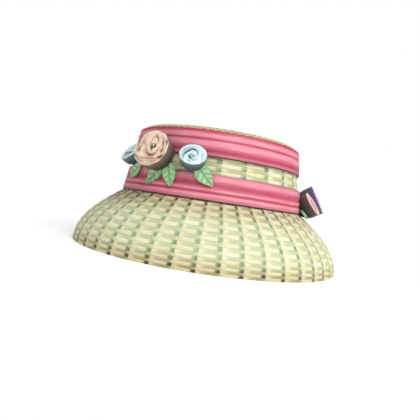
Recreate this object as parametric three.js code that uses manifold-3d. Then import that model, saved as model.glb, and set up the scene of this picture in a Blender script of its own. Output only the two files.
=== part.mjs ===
// A straw bonnet: a tapered woven crown with a nearly flat tip, a drooping round brim, two pleated
// ribbons round the crown, five rolled cloth roses and five cloth leaves.
// Millimetres, +Z up. The origin is the centre of the circle that the rim rests on.
// Azimuth is in degrees round the crown: 0 is the front (-Y) and 90 is +X, the wearer's left.

import * as THREE from "three";
import { ParametricGeometry } from "three/addons/geometries/ParametricGeometry.js";
import { mergeVertices } from "three/addons/utils/BufferGeometryUtils.js";
import Module from "manifold-3d";

const wasm = await Module();
wasm.setup();

// General
const GAP = 0.3; // air left between neighbouring pieces
const AROUND = 48; // facets round the hat

// Straw
const STRAW_WALL = 2.4;
const RIM_RADIUS = 140;
const HEAD_RADIUS = 94.7; // outside of the straw at the headline, for a 58 cm head inside the wall
const HEAD_HEIGHT = 57.4; // the headline above the rim
const BRIM_DROOP = 2.1; // the higher this is, the longer the brim hangs upright above the rim
const BRIM_EASE = 1.125; // how softly the brim turns into the crown
const BRIM_STEPS = 9;
const BRIM_CROWDING = 1.5; // above 1 the steps crowd towards the headline
const CROWN_TAPER = 0.1672; // radius lost for each mm of height
const SHOULDER_HEIGHT = 118.2; // where the crown's side starts to turn in
const SHOULDER_RADIUS = 6.2;
const SHOULDER_STEPS = 4;
const TIP_SLOPE = THREE.MathUtils.degToRad(5.5); // of the tip where it leaves the shoulder
const TIP_STEPS = 4;

// Ribbons: their edges, and their folds from the top edge down. "at" is the share of the ribbon's
// height and "stand" is how far the cloth's outside lies off the straw.
const RIDGE = 2.2; // the highest folds
const FOLD_STEPS = 2;
const UPPER_RIBBON = {
  top: 119.4,
  bottom: 94.9,
  folds: [
    { at: 0.0, stand: 1.6 },
    { at: 0.16, stand: RIDGE },
    { at: 0.33, stand: 1.3 },
    { at: 0.5, stand: RIDGE },
    { at: 0.8, stand: 1.4 },
    { at: 0.92, stand: RIDGE },
    { at: 1.0, stand: 1.9 },
  ],
};
const LOWER_RIBBON = {
  top: 79.9,
  bottom: 55.8,
  folds: [
    { at: 0.0, stand: 1.6 },
    { at: 0.18, stand: RIDGE },
    { at: 0.4, stand: 1.4 },
    { at: 0.52, stand: RIDGE },
    { at: 0.66, stand: 1.3 },
    { at: 0.8, stand: RIDGE },
    { at: 0.9, stand: 1.8 },
    { at: 1.0, stand: RIDGE },
  ],
};
const LOWER_HEM_SLANT = 2.0; // the lower ribbon's hem is undercut to clear the brim

// Roses: "seat" is the azimuth and height where one sits on the crown, and "face" is where its face
// looks, as an azimuth and a lift above level. "radius" is the face's, "depth" is from the seat to the
// face and "foot" is the cup's radius at its seat as a share of the face's.
const ROSE_AROUND = 20;
const ROSE_TURNS = 2; // of the rolled strip, as seen on the face
const ROSE_RELIEF = 0.9; // height of the rolled edges, from their middle level
const ROSE_DOME = 1.5; // the middle of the face stands this far over its rim
const ROSE_FACE_STEPS = 8;
const PEACH = 0xe6c2a8;
const BLUE = 0xc4e3ea;
const PINK = 0xf0c0c8;
const PURPLE = 0xb79ad6;
const ROSES = [
  {
    name: "peach_rose", colour: PEACH,
    seat: [2.6, 88.9], face: [7.8, 19], radius: 17.8, depth: 20, foot: 0.72,
  },
  {
    name: "blue_rose_left", colour: BLUE,
    seat: [-19.4, 85.6], face: [-19.1, 39.5], radius: 12.4, depth: 12.6, foot: 0.66,
  },
  {
    name: "blue_rose_right", colour: BLUE,
    seat: [22.5, 86], face: [36, 38], radius: 12.3, depth: 13, foot: 0.66,
  },
  {
    name: "pink_rose", colour: PINK,
    seat: [113, 59.7], face: [100.3, 36.8], radius: 12.9, depth: 16, foot: 0.62,
  },
  {
    name: "purple_rose", colour: PURPLE,
    seat: [130.5, 62], face: [110.7, 30.4], radius: 16.3, depth: 25.8, foot: 0.62,
  },
];

// A rose's side from under its seat to its rim: "out" is a share of its depth, and "flare" is the
// share of the way from the foot's radius to the face's
const ROSE_SIDE = [
  { out: -0.45, flare: -0.5 },
  { out: 0.0, flare: 0.0 },
  { out: 0.3, flare: 0.5 },
  { out: 0.65, flare: 0.86 },
  { out: 0.92, flare: 1.0 },
];

// Leaves: each runs from a root under its rose to a free tip, both given as azimuth and height
const LEAF_THICKNESS = 1.2;
const LEAF_AROUND = 8;
const LEAF_STEPS = 8;
const LEAF_BELLY = 0.8; // below 1 it brings the widest place nearer the root
const LEAF_KEEL = 0.8; // the edges stand this far over the midrib
const LEAVES = [
  { name: "leaf_blue_left", root: [-12, 82], tip: [-23, 67.2], width: 14, tipLift: 1.5 },
  { name: "leaf_peach_left", root: [5, 83], tip: [-3.7, 62.7], width: 14.2, tipLift: 1.5 },
  { name: "leaf_peach_right", root: [8.6, 86], tip: [13.3, 62.8], width: 14.2, tipLift: 1.5 },
  { name: "leaf_blue_right", root: [25, 86.5], tip: [35.7, 68.2], width: 14.4, tipLift: 1.5 },
  { name: "leaf_pink", root: [104, 61], tip: [111, 50.4], width: 11, tipLift: 1.0 },
];

// Colours
const STRAW = { color: 0xe4e2b4, roughness: 0.75, metalness: 0 };
const RIBBON = { color: 0xdd6a82, roughness: 0.5, metalness: 0 };
const LEAF = { color: 0x8cc983, roughness: 0.6, metalness: 0 };
const ROSE_CLOTH = { roughness: 0.65, metalness: 0 };

// Lines of the hat

/** Radius of the crown's outside at a height. */
function crownRadius(height) {
  return HEAD_RADIUS - CROWN_TAPER * (height - HEAD_HEIGHT);
}

/** Radius of the brim's outside at a height: upright at the rim, then sweeping in to the headline. */
function brimRadius(height) {
  const share = Math.min(height / HEAD_HEIGHT, 1);
  return HEAD_RADIUS + (RIM_RADIUS - HEAD_RADIUS) * (1 - share ** BRIM_DROOP) ** BRIM_EASE;
}

/** Radius of the smooth surface that leaves lie on: the ribbon's highest folds, or the brim below it. */
function bedRadius(height) {
  return Math.max(crownRadius(height) + RIDGE, brimRadius(height));
}

/** A line moved by a distance to its left, with its two ends moved straight inwards or downwards. */
function inset(line, distance) {
  return line.map((point, i) => {
    const before = line[Math.max(i - 1, 0)];
    const after = line[Math.min(i + 1, line.length - 1)];
    if (i === 0) {
      return new THREE.Vector2(point.x - distance, point.y);
    }
    if (i === line.length - 1) {
      const inwards = point.x > 0 ? new THREE.Vector2(-distance, 0) : new THREE.Vector2(0, -distance);
      return point.clone().add(inwards);
    }
    const along = after.clone().sub(before).normalize();
    return new THREE.Vector2(point.x - along.y * distance, point.y + along.x * distance);
  });
}

/** The brim's outside from the rim up to the headline. */
function brimLine() {
  return Array.from({ length: BRIM_STEPS + 1 }, (_, i) => {
    const height = HEAD_HEIGHT * (1 - (1 - i / BRIM_STEPS) ** BRIM_CROWDING);
    return new THREE.Vector2(brimRadius(height), height);
  });
}

/** The crown's outside from its lower edge, over the rounded shoulder, to the middle of the tip. */
function crownLine() {
  const foot = HEAD_HEIGHT + GAP;
  const line = [new THREE.Vector2(crownRadius(foot), foot)];
  const lean = Math.atan(CROWN_TAPER);
  const centreRadius = crownRadius(SHOULDER_HEIGHT) - SHOULDER_RADIUS * Math.cos(lean);
  const centreHeight = SHOULDER_HEIGHT - SHOULDER_RADIUS * Math.sin(lean);
  for (let i = 0; i <= SHOULDER_STEPS; i++) {
    const angle = THREE.MathUtils.lerp(lean, Math.PI / 2 - TIP_SLOPE, i / SHOULDER_STEPS);
    line.push(new THREE.Vector2(
      centreRadius + SHOULDER_RADIUS * Math.cos(angle),
      centreHeight + SHOULDER_RADIUS * Math.sin(angle),
    ));
  }
  const edge = line[line.length - 1];
  const rise = (edge.x * Math.tan(TIP_SLOPE)) / 2;
  for (let i = 1; i <= TIP_STEPS; i++) {
    const share = 1 - i / TIP_STEPS;
    line.push(new THREE.Vector2(edge.x * share, edge.y + rise * (1 - share * share)));
  }
  return line;
}

/** A ribbon's outside from its lower edge to its upper edge, with soft curves between its folds. */
function foldLine(ribbon) {
  const line = [];
  const rows = [...ribbon.folds].reverse();
  rows.forEach((row, i) => {
    const steps = i === 0 ? 1 : FOLD_STEPS;
    const before = rows[Math.max(i - 1, 0)];
    for (let step = 1; step <= steps; step++) {
      const share = step / steps;
      const at = THREE.MathUtils.lerp(before.at, row.at, share);
      const stand = THREE.MathUtils.lerp(before.stand, row.stand, THREE.MathUtils.smoothstep(share, 0, 1));
      const height = THREE.MathUtils.lerp(ribbon.top, ribbon.bottom, at);
      line.push(new THREE.Vector2(crownRadius(height) + stand, height));
    }
  });
  return line;
}

// Solids

/** Joins a geometry's equal points and drops the triangles that shrink to a line. */
function weld(geometry) {
  geometry.deleteAttribute("normal");
  geometry.deleteAttribute("uv");
  const joined = mergeVertices(geometry, 1e-3);
  const index = joined.getIndex().array;
  const kept = [];
  for (let i = 0; i < index.length; i += 3) {
    const [a, b, c] = index.slice(i, i + 3);
    if (a !== b && b !== c && c !== a) {
      kept.push(a, b, c);
    }
  }
  joined.setIndex(kept);
  return joined;
}

/** A line turned about the hat's axis. It runs anticlockwise, with radius to the right and height up. */
function turned(line) {
  return weld(new THREE.LatheGeometry(line, AROUND).rotateX(Math.PI / 2));
}

/** The solid of a closed geometry, for cutting. */
function toSolid(geometry) {
  const vertProperties = new Float32Array(geometry.getAttribute("position").array);
  const triVerts = new Uint32Array(geometry.getIndex().array);
  return new wasm.Manifold(new wasm.Mesh({ numProp: 3, vertProperties, triVerts }));
}

/** The geometry of a solid. */
function toGeometry(solid) {
  const { vertProperties, triVerts } = solid.getMesh();
  const geometry = new THREE.BufferGeometry();
  geometry.setAttribute("position", new THREE.BufferAttribute(vertProperties, 3));
  geometry.setIndex(new THREE.BufferAttribute(triVerts, 1));
  return geometry;
}

/** A wall between a line and the same line moved inwards. */
function wallGeometry(line) {
  return turned([...inset(line, STRAW_WALL).reverse(), ...line]);
}

function brimGeometry() {
  const outside = brimLine();
  const inside = inset(outside, STRAW_WALL).reverse();
  return turned([...inside, ...outside, inside[0]]);
}

function ribbonGeometry(ribbon, hemSlant) {
  const outside = foldLine(ribbon);
  const hem = ribbon.bottom + hemSlant;
  const innerTop = new THREE.Vector2(crownRadius(ribbon.top) + GAP, ribbon.top);
  const innerHem = new THREE.Vector2(crownRadius(hem) + GAP, hem);
  return turned([innerTop, innerHem, ...outside, innerTop]);
}

/** Everything inside the hat's outside, grown by the gap, which the roses are cut against. */
function seatGeometry() {
  const ridge = (height) => new THREE.Vector2(crownRadius(height) + RIDGE + GAP, height);
  const straw = (height) => new THREE.Vector2(crownRadius(height) + GAP, height);
  const band = { low: LOWER_RIBBON.top + GAP, high: UPPER_RIBBON.bottom - GAP };
  const ceiling = UPPER_RIBBON.top + GAP;
  const brim = inset(brimLine(), -GAP).filter((point) => point.x > ridge(LOWER_RIBBON.bottom).x);
  return turned([
    new THREE.Vector2(0, 0),
    ...brim,
    ridge(LOWER_RIBBON.bottom - GAP),
    ridge(band.low),
    straw(band.low),
    straw(band.high),
    ridge(band.high),
    ridge(ceiling),
    new THREE.Vector2(0, ceiling),
  ]);
}

/** A leaf: a lens-shaped section that widens and narrows from root to tip over the hat's outside. */
function leafGeometry(leaf, grow = 0) {
  const [rootAzimuth, rootHeight] = leaf.root;
  const [tipAzimuth, tipHeight] = leaf.tip;
  const middle = bedRadius((rootHeight + tipHeight) / 2);
  const arcPerDegree = THREE.MathUtils.degToRad(middle);
  const run = new THREE.Vector2((tipAzimuth - rootAzimuth) * arcPerDegree, tipHeight - rootHeight);
  const length = run.length();
  const along = run.clone().divideScalar(length);
  const section = (u, v, target) => {
    const share = THREE.MathUtils.clamp(v, 0, 1);
    const angle = u * 2 * Math.PI;
    const side = Math.cos(angle);
    const swell = Math.sin(Math.PI * share ** LEAF_BELLY);
    const closed = share === 0 || share === 1;
    const halfWidth = closed ? 0 : (leaf.width / 2) * swell + grow;
    const halfThickness = closed ? 0 : (LEAF_THICKNESS / 2) * Math.sqrt(swell) + grow;
    const reach = share * (length + 2 * grow) - grow;
    const arc = along.x * reach - along.y * side * halfWidth;
    const height = rootHeight + along.y * reach + along.x * side * halfWidth;
    const azimuth = THREE.MathUtils.degToRad(rootAzimuth + arc / arcPerDegree);
    const slope = (bedRadius(height + 2) - bedRadius(height - 2)) / 4;
    const out = new THREE.Vector2(1, -slope).normalize();
    const keel = LEAF_KEEL * swell * side * side;
    const stand = GAP + LEAF_THICKNESS / 2 + leaf.tipLift * share * share + keel
      + Math.sin(angle) * halfThickness;
    const radius = bedRadius(height) + out.x * stand;
    target.set(radius * Math.sin(azimuth), -radius * Math.cos(azimuth), height + out.y * stand);
  };
  return weld(new ParametricGeometry(section, LEAF_AROUND, LEAF_STEPS));
}

/** A rose about +Z with its seat at the origin: a cup that widens to its rim, and a rolled face. */
function roseGeometry(rose) {
  const rings = ROSE_SIDE.map((row) => ({
    out: row.out * rose.depth,
    wide: THREE.MathUtils.lerp(rose.foot, 1, row.flare) * rose.radius,
    roll: 0,
  }));
  for (let i = 1; i < ROSE_FACE_STEPS; i++) {
    const share = 1 - i / ROSE_FACE_STEPS;
    rings.push({ out: rose.depth + ROSE_DOME * (1 - share * share), wide: share * rose.radius, roll: 1 });
  }
  const floor = { out: rings[0].out, wide: 0, roll: 0 };
  const middle = { out: rose.depth + ROSE_DOME - ROSE_RELIEF, wide: 0, roll: 0 };
  const table = [floor, ...rings, middle];
  const skin = (u, v, target) => {
    const row = table[Math.round(THREE.MathUtils.clamp(v, 0, 1) * (table.length - 1))];
    const angle = (u === 1 ? 0 : u) * 2 * Math.PI;
    const phase = 2 * Math.PI * ((ROSE_TURNS * row.wide) / rose.radius) - angle;
    const roll = row.roll * ROSE_RELIEF * Math.cos(phase);
    target.set(row.wide * Math.cos(angle), row.wide * Math.sin(angle), row.out + roll);
  };
  return weld(new ParametricGeometry(skin, ROSE_AROUND, table.length - 1));
}

/** Unit vector at an azimuth and a lift above level, both in degrees. */
function direction(azimuth, lift) {
  const turn = THREE.MathUtils.degToRad(azimuth);
  const rise = THREE.MathUtils.degToRad(lift);
  return new THREE.Vector3(Math.sin(turn) * Math.cos(rise), -Math.cos(turn) * Math.cos(rise), Math.sin(rise));
}

/** Where a rose stands: its seat on the crown and its face's direction. */
function rosePlace(rose) {
  const [azimuth, height] = rose.seat;
  const seat = direction(azimuth, 0).multiplyScalar(crownRadius(height) + RIDGE);
  seat.z = height;
  const facing = new THREE.Quaternion().setFromUnitVectors(
    new THREE.Vector3(0, 0, 1), direction(...rose.face));
  return new THREE.Matrix4().compose(seat, facing, new THREE.Vector3(1, 1, 1));
}

// Assembly

function named(name, geometry, finish) {
  const mesh = new THREE.Mesh(geometry, new THREE.MeshStandardMaterial(finish));
  mesh.name = name;
  return mesh;
}

function strawGroup() {
  const group = new THREE.Group();
  group.add(named("brim", brimGeometry(), STRAW));
  group.add(named("crown", wallGeometry(crownLine()), STRAW));
  return group;
}

function ribbonGroup() {
  const group = new THREE.Group();
  group.add(named("upper_ribbon", ribbonGeometry(UPPER_RIBBON, 0), RIBBON));
  group.add(named("lower_ribbon", ribbonGeometry(LOWER_RIBBON, LOWER_HEM_SLANT), RIBBON));
  return group;
}

function leafGroup() {
  const group = new THREE.Group();
  LEAVES.forEach((leaf) => group.add(named(leaf.name, leafGeometry(leaf), LEAF)));
  return group;
}

/** The roses, each cut to fit the crown, its ribbons and the leaves. */
function roseGroup() {
  const group = new THREE.Group();
  const taken = [seatGeometry(), ...LEAVES.map((leaf) => leafGeometry(leaf, GAP))].map(toSolid);
  ROSES.forEach((rose) => {
    const place = rosePlace(rose);
    const whole = toSolid(roseGeometry(rose).applyMatrix4(place));
    const cut = taken.reduce((solid, other) => solid.subtract(other), whole);
    const geometry = toGeometry(cut).applyMatrix4(place.clone().invert());
    const mesh = named(rose.name, geometry, { color: rose.colour, ...ROSE_CLOTH });
    mesh.applyMatrix4(place);
    group.add(mesh);
  });
  return group;
}

const bonnet = new THREE.Group();
bonnet.add(strawGroup(), ribbonGroup(), leafGroup(), roseGroup());

export default bonnet;
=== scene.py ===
"""A straw bonnet: a plain-woven crown and brim, two folded satin ribbons, five rolled cloth roses
and five veined cloth leaves.

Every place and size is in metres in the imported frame: the origin is the middle of the circle that
the rim rests on, and +Z is up. Azimuth is in degrees round the crown: 0 is the front (-Y) and 90
is +X, the wearer's left.
"""

import logging
from dataclasses import dataclass, field
from enum import Enum

import bpy
import numpy as np
from mathutils import Matrix


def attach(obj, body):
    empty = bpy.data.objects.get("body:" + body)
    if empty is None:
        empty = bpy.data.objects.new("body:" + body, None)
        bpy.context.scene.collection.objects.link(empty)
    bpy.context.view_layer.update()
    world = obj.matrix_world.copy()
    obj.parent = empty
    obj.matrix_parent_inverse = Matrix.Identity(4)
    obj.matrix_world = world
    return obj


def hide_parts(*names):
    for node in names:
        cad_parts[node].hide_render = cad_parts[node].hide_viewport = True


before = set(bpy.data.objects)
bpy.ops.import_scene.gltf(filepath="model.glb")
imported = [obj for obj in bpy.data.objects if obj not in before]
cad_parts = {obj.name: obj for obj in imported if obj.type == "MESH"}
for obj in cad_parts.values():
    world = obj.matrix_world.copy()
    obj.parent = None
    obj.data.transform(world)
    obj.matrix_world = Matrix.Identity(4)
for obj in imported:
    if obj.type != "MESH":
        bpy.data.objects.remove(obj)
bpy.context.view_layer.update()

MM = 0.001
SEED = 7
log = logging.getLogger("bonnet")


# Colour, nodes and meshes

def linear(code: str) -> tuple[float, float, float, float]:
    """Turns an sRGB hex colour into the linear colour that a shader takes.

    Args:
        code: six hex digits after a hash, such as "#8CC983".

    Returns:
        Red, green, blue and an alpha of one.
    """
    value = np.array([int(code[i:i + 2], 16) / 255 for i in (1, 3, 5)])
    value = np.where(value <= 0.04045, value / 12.92, ((value + 0.055) / 1.055) ** 2.4)
    return (*(float(v) for v in value), 1.0)


def add_node(tree: bpy.types.NodeTree, kind: str, inputs: dict | None = None, **settings) -> bpy.types.Node:
    """Adds a node with its settings, values and links.

    Args:
        tree: the material's or world's node tree.
        kind: the node's type name.
        inputs: value or source socket for each input, by the input's name or number.
        settings: the node's own properties.

    Returns:
        The new node.
    """
    node = tree.nodes.new(kind)
    for name, value in settings.items():
        setattr(node, name, value)
    for name, value in (inputs or {}).items():
        if isinstance(value, bpy.types.NodeSocket):
            tree.links.new(value, node.inputs[name])
        else:
            node.inputs[name].default_value = value
    return node


def blend_colours(tree: bpy.types.NodeTree, share, low, high, how: str = "MIX") -> bpy.types.NodeSocket:
    """Mixes two colours by a share from 0, the low one, to 1, the high one.

    Args:
        tree: the material's node tree.
        share: a socket or a number.
        low: a hex colour or socket.
        high: a hex colour or socket.
        how: the way of mixing.

    Returns:
        The mixed colour's socket.
    """
    low, high = (linear(value) if isinstance(value, str) else value for value in (low, high))
    node = add_node(tree, "ShaderNodeMix", {0: share, 6: low, 7: high}, data_type="RGBA", blend_type=how)
    return node.outputs[2]


def tone(tree: bpy.types.NodeTree, name: str) -> bpy.types.NodeSocket:
    """The value of a mesh attribute by name."""
    return add_node(tree, "ShaderNodeAttribute", attribute_name=name).outputs["Fac"]


def reshape_share(tree: bpy.types.NodeTree, value, low: float, high: float) -> bpy.types.NodeSocket:
    """Stretches a value so that low becomes 0 and high becomes 1, with soft ends."""
    limits = {0: value, 1: low, 2: high, 3: 0.0, 4: 1.0}
    return add_node(tree, "ShaderNodeMapRange", limits, interpolation_type="SMOOTHSTEP").outputs[0]


def streaks(tree: bpy.types.NodeTree, along: float, across: float) -> bpy.types.NodeSocket:
    """Noise stretched along a strand or cloth.

    Args:
        tree: the material's node tree.
        along: how long a streak is, in metres along the piece's first UV axis.
        across: how wide a streak is, in metres along the second.

    Returns:
        The noise's value, about 0.5 on average.
    """
    place = add_node(tree, "ShaderNodeUVMap", uv_map="cloth")
    scaled = add_node(tree, "ShaderNodeMapping", {0: place.outputs[0], 3: (1 / along, 1 / across, 1.0)})
    return add_node(tree, "ShaderNodeTexNoise", {0: scaled.outputs[0], 2: 1.0}).outputs[0]


def speckle(tree: bpy.types.NodeTree, size: float, detail: float = 3.0) -> bpy.types.NodeSocket:
    """Noise that is the same in every direction, with spots of a size in metres."""
    place = add_node(tree, "ShaderNodeTexCoord").outputs["Object"]
    return add_node(tree, "ShaderNodeTexNoise", {0: place, 2: 1 / size, 3: detail}).outputs[0]


def raised(tree: bpy.types.NodeTree, height, distance: float, strength: float = 1.0) -> bpy.types.NodeSocket:
    """A bump of a real height in metres from a 0 to 1 pattern."""
    return add_node(tree, "ShaderNodeBump", {0: strength, 1: distance, "Height": height}).outputs[0]


def finish(name: str, **values) -> tuple[bpy.types.Material, bpy.types.NodeTree, bpy.types.Node]:
    """Starts a material with one shader whose constant values are set on its own sockets.

    Args:
        name: the material's name.
        values: numbers or hex colours, with spaces in a socket's name written as underscores.

    Returns:
        The material, its node tree and its shader.
    """
    material = bpy.data.materials.new(name)
    material.use_nodes = True
    shader = material.node_tree.nodes["Principled BSDF"]
    for key, value in values.items():
        value = linear(value) if isinstance(value, str) else value
        shader.inputs[key.replace("_", " ")].default_value = value
    return material, material.node_tree, shader


def join(tree: bpy.types.NodeTree, shader: bpy.types.Node, **sources: bpy.types.NodeSocket) -> None:
    """Links each source to the shader's socket of that name, with underscores for its spaces."""
    for key, source in sources.items():
        tree.links.new(source, shader.inputs[key.replace("_", " ")])


def add_object(name: str, data: bpy.types.ID) -> bpy.types.Object:
    """Puts a mesh, light or camera into the scene at the origin."""
    thing = bpy.data.objects.new(name, data)
    bpy.context.scene.collection.objects.link(thing)
    return thing


def oriented(side: np.ndarray, back: np.ndarray, place: np.ndarray) -> Matrix:
    """The place of an object whose own X points to the side and whose own Z points backwards."""
    matrix = np.eye(4)
    matrix[:3] = np.stack([side, np.cross(back, side), back, place], axis=1)
    return Matrix(matrix.tolist())


# Shares and shapes

def ramp(value: np.ndarray, low: float, high: float) -> np.ndarray:
    """0 at low, 1 at high, straight between them and level beyond. Low may be more than high."""
    return np.clip((value - low) / (high - low), 0, 1)


def bell(distance: np.ndarray, width: float) -> np.ndarray:
    """A smooth bump: exp(-(distance / width)^2)."""
    return np.exp(-(distance / width) ** 2)


def unit(vector: np.ndarray) -> np.ndarray:
    """The same directions with a length of one."""
    return vector / np.linalg.norm(vector, axis=-1, keepdims=True)


def circle(count: int) -> np.ndarray:
    """Evenly spaced angles round one turn, in radians."""
    return np.linspace(0, 2 * np.pi, count, endpoint=False)


def spacing(points: np.ndarray) -> np.ndarray:
    """The distance from each point to the next along the first axis."""
    return np.linalg.norm(np.diff(points, axis=0), axis=-1)


def there_and_back(there: np.ndarray, back: np.ndarray) -> np.ndarray:
    """Values across a strip's outer face, then those across its inner face the other way."""
    return np.concatenate([there, back[..., ::-1]], axis=-1)


def direction(azimuth: float, lift: float) -> np.ndarray:
    """The unit vector (sin a cos l, -cos a cos l, sin l) outwards at an azimuth and lift in degrees."""
    turn, rise = np.radians(azimuth), np.radians(lift)
    return np.array([np.sin(turn) * np.cos(rise), -np.cos(turn) * np.cos(rise), np.sin(rise)])


def around_axis(radius: np.ndarray, azimuth: np.ndarray, height: np.ndarray) -> np.ndarray:
    """Points (r sin a, -r cos a, z) from radius, azimuth in radians and height."""
    radius, azimuth, height = np.broadcast_arrays(radius, azimuth, height)
    return np.stack([radius * np.sin(azimuth), -radius * np.cos(azimuth), height], axis=-1)


def smooth_weights(controls: int, samples: int) -> np.ndarray:
    """Weights of a Catmull-Rom curve through evenly numbered controls.

    Each sample mixes the four controls round it by the usual cubic, so the curve passes through
    every control and its two ends.

    Args:
        controls: how many controls there are.
        samples: how many points are wanted.

    Returns:
        An array of samples by controls, whose rows add up to one.
    """
    place = np.linspace(0, controls - 1, samples)
    start = np.minimum(place.astype(int), controls - 2)
    t = place - start
    parts = [
        -0.5 * t + t ** 2 - 0.5 * t ** 3,
        1 - 2.5 * t ** 2 + 1.5 * t ** 3,
        0.5 * t + 2 * t ** 2 - 1.5 * t ** 3,
        -0.5 * t ** 2 + 0.5 * t ** 3,
    ]
    weights = np.zeros((samples, controls))
    for step, part in enumerate(parts):
        np.add.at(weights, (np.arange(samples), np.clip(start + step - 1, 0, controls - 1)), part)
    return weights


def waves(azimuth: np.ndarray, seed: int, counts: tuple[int, ...] = (2, 3, 5, 7)) -> np.ndarray:
    """A smooth closed wobble round the crown, from -1 to 1, as a sum of sines with seeded phases."""
    phases = np.random.default_rng(seed).uniform(0, 2 * np.pi, len(counts))
    total = sum(np.sin(n * azimuth + phase) / n ** 0.5 for n, phase in zip(counts, phases))
    return total / sum(n ** -0.5 for n in counts)


@dataclass
class Grid:
    """Patches of points on grids, each patch the same size, which together make one mesh.

    Attributes:
        points: positions, with shape (patches, rows, columns, 3).
        closed_rows: the last row joins the first.
        closed_columns: the last column joins the first.
        capped: the first and last row of an open strand are closed with a face each.
        poled: only the last row is closed, as the pole of a dome.
        tones: values by attribute name, of any shape that spreads to (patches, rows, columns).
        patch_shift: how far apart in metres neighbouring patches lie in the pattern.
    """

    points: np.ndarray
    closed_rows: bool = False
    closed_columns: bool = False
    capped: bool = False
    poled: bool = False
    tones: dict[str, np.ndarray | float] = field(default_factory=dict)
    patch_shift: float = 0.37

    def corner_numbers(self) -> np.ndarray:
        """Unwrapped grid numbers (patch, row, column) of every face's four corners."""
        patches, rows, columns = self.points.shape[:3]
        spans = (rows if self.closed_rows else rows - 1, columns if self.closed_columns else columns - 1)
        patch, row, column = np.meshgrid(
            np.arange(patches), np.arange(spans[0]), np.arange(spans[1]), indexing="ij")
        corners = [(0, 0), (1, 0), (1, 1), (0, 1)]
        stacked = [np.stack([patch, row + up, column + side], axis=-1) for up, side in corners]
        return np.stack(stacked, axis=-2).reshape(-1, 4, 3)

    def lengths(self) -> tuple[np.ndarray, np.ndarray]:
        """Distance along the rows and along the columns, in metres, which the pattern follows."""
        patches, rows, columns = self.points.shape[:3]
        lengthwise, crosswise = self.points[:, :, columns // 2], self.points[0, rows // 2]
        ahead = np.linalg.norm(np.roll(lengthwise, -1, axis=1) - lengthwise, axis=-1)
        along = np.concatenate([np.zeros((patches, 1)), np.cumsum(ahead, axis=1)], axis=1)
        step = np.linalg.norm(np.roll(crosswise, -1, axis=0) - crosswise, axis=-1)
        across = np.concatenate([[0.0], np.cumsum(step)])
        return along + np.arange(patches)[:, None] * self.patch_shift, across

    def mesh(self, name: str) -> bpy.types.Mesh:
        """Makes the mesh with its UV map, its tones and faces that point outwards.

        The enclosed volume, a sum of a . (b x c) over the faces of a closed patch, tells whether
        the faces have to be turned round.

        Args:
            name: the mesh's name.

        Returns:
            The new mesh, smooth-shaded.
        """
        patches, rows, columns = self.points.shape[:3]
        numbers = self.corner_numbers()
        index = np.arange(patches * rows * columns).reshape(patches, rows, columns)
        faces = index[numbers[..., 0], numbers[..., 1] % rows, numbers[..., 2] % columns]
        along, across = self.lengths()
        uv = np.stack([along[numbers[..., 0], numbers[..., 1]], across[numbers[..., 2]]], axis=-1)
        flat = self.points.reshape(-1, 3)
        caps = np.empty((0, columns), dtype=int)
        if self.capped:
            caps = np.concatenate([index[:, 0, ::-1], index[:, -1, :]])
        if self.poled:
            caps = index[:, -1, :]
        if self.closed_columns and (self.closed_rows or self.capped or self.poled):
            a, b, c, d = (flat[faces[:, i]] - flat.mean(axis=0) for i in range(4))
            volume = (a * np.cross(b, c)).sum() + (a * np.cross(c, d)).sum()
            if volume < 0:
                faces, uv, caps = faces[:, ::-1], uv[:, ::-1], caps[:, ::-1]
        mesh = bpy.data.meshes.new(name)
        mesh.from_pydata(flat.tolist(), [], faces.tolist() + caps.tolist())
        layer = mesh.uv_layers.new(name="cloth")
        corners = np.concatenate([uv.reshape(-1, 2), np.zeros((caps.size, 2))])
        layer.data.foreach_set("uv", corners.ravel())
        for label, values in self.tones.items():
            attribute = mesh.attributes.new(label, "FLOAT", "POINT")
            spread = np.broadcast_to(values, self.points.shape[:3]).astype(np.float32)
            attribute.data.foreach_set("value", spread.ravel())
        mesh.polygons.foreach_set("use_smooth", np.ones(len(mesh.polygons), dtype=bool))
        mesh.update()
        return mesh


def place_piece(
        grid: Grid, name: str, material: bpy.types.Material, slot: str, *nodes: str) -> bpy.types.Object:
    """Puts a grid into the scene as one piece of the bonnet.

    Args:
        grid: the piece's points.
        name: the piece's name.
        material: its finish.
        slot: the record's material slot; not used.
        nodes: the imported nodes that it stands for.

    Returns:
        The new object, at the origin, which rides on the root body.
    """
    piece = add_object(name, grid.mesh(name))
    piece.data.materials.append(material)
    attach(piece, "root")
    if nodes:
        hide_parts(*nodes)
    log.info("%s: %d faces", name, len(piece.data.polygons))
    return piece


# Lines of the hat

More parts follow.
